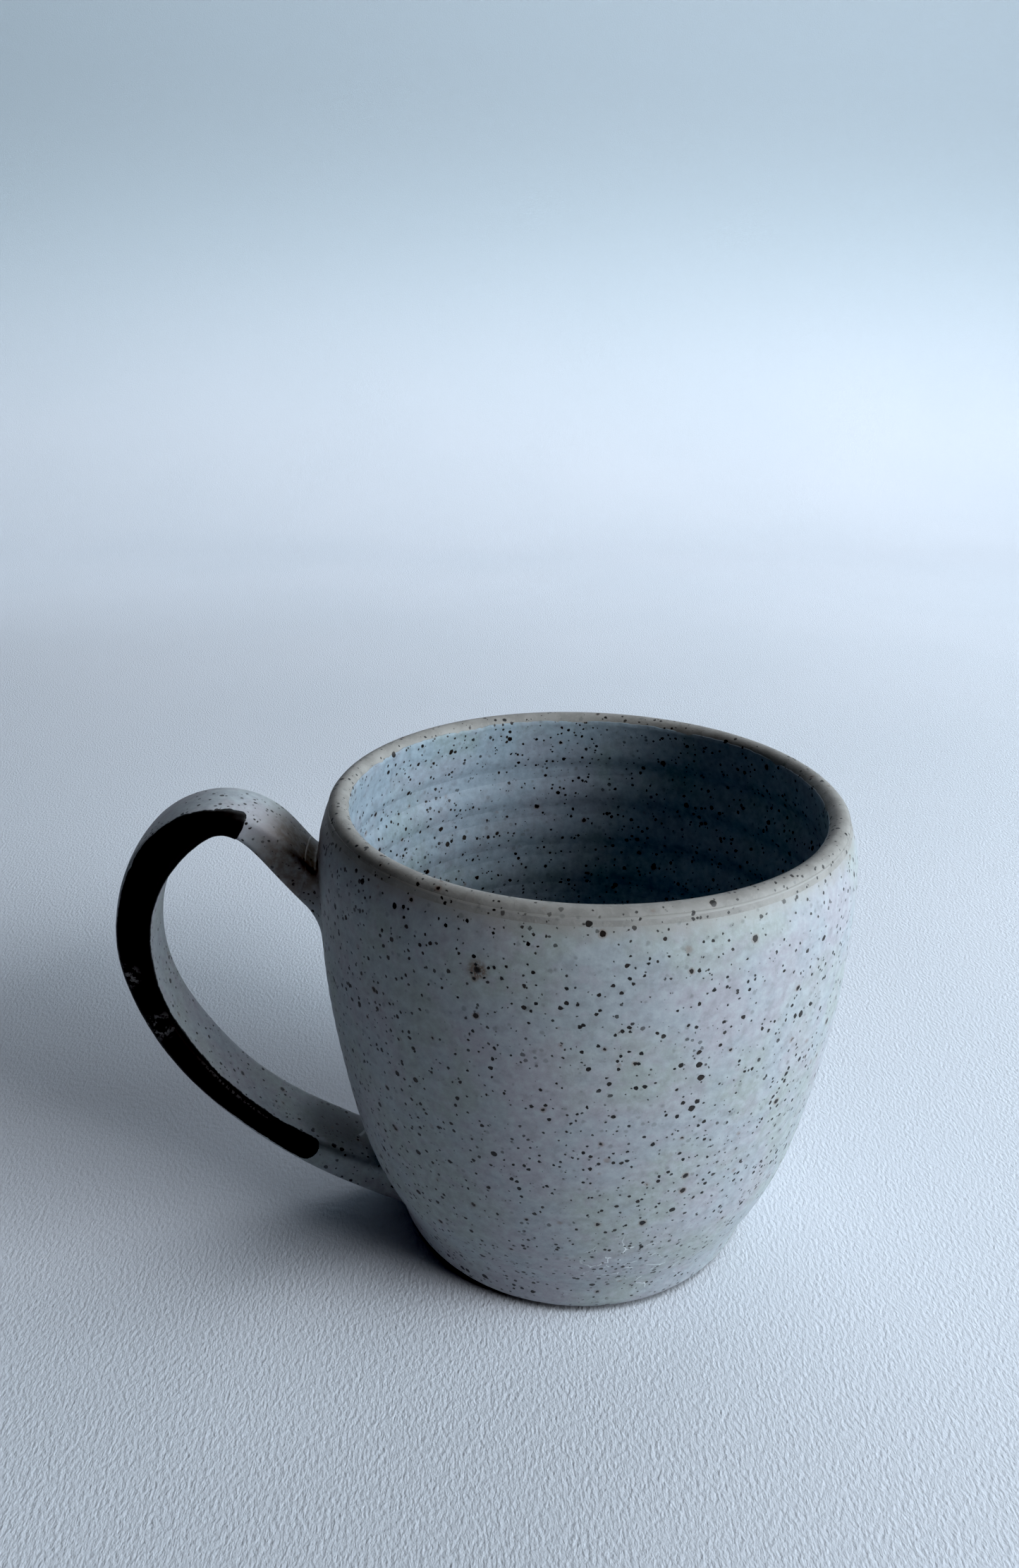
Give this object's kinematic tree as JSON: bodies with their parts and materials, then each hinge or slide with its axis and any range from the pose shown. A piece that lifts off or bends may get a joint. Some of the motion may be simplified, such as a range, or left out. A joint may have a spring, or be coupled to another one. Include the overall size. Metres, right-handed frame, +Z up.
{
  "type": "mug",
  "caption": "Hand-thrown stoneware mug with a rounded rim, a trimmed foot and a pulled strap handle, speckled satin glaze outside and in.",
  "frame": {"origin": "centre of the foot's resting plane, on the mug's turning axis", "axes": "+Z up along the turning axis, -X towards the handle, +Y completes the frame"},
  "size_m": [0.1242, 0.09, 0.0825],
  "materials": {
    "clay": "bare buff-grey stoneware with iron specks",
    "outer_glaze": "satin-matte pale blue-grey, speckled",
    "liner_glaze": "satin pale sky blue, speckled",
    "dark_glaze": "semi-gloss black",
    "slip": "satin-matte blue-grey over smoothed slip"
  },
  "bodies": {
    "root": {"body": "clay", "outer_glaze": "outer_glaze", "liner_glaze": "liner_glaze", "handle": "clay", "handle_glaze": "outer_glaze", "handle_band": "dark_glaze", "upper_joint": "slip", "lower_joint": "slip"}
  },
  "joints": []
}
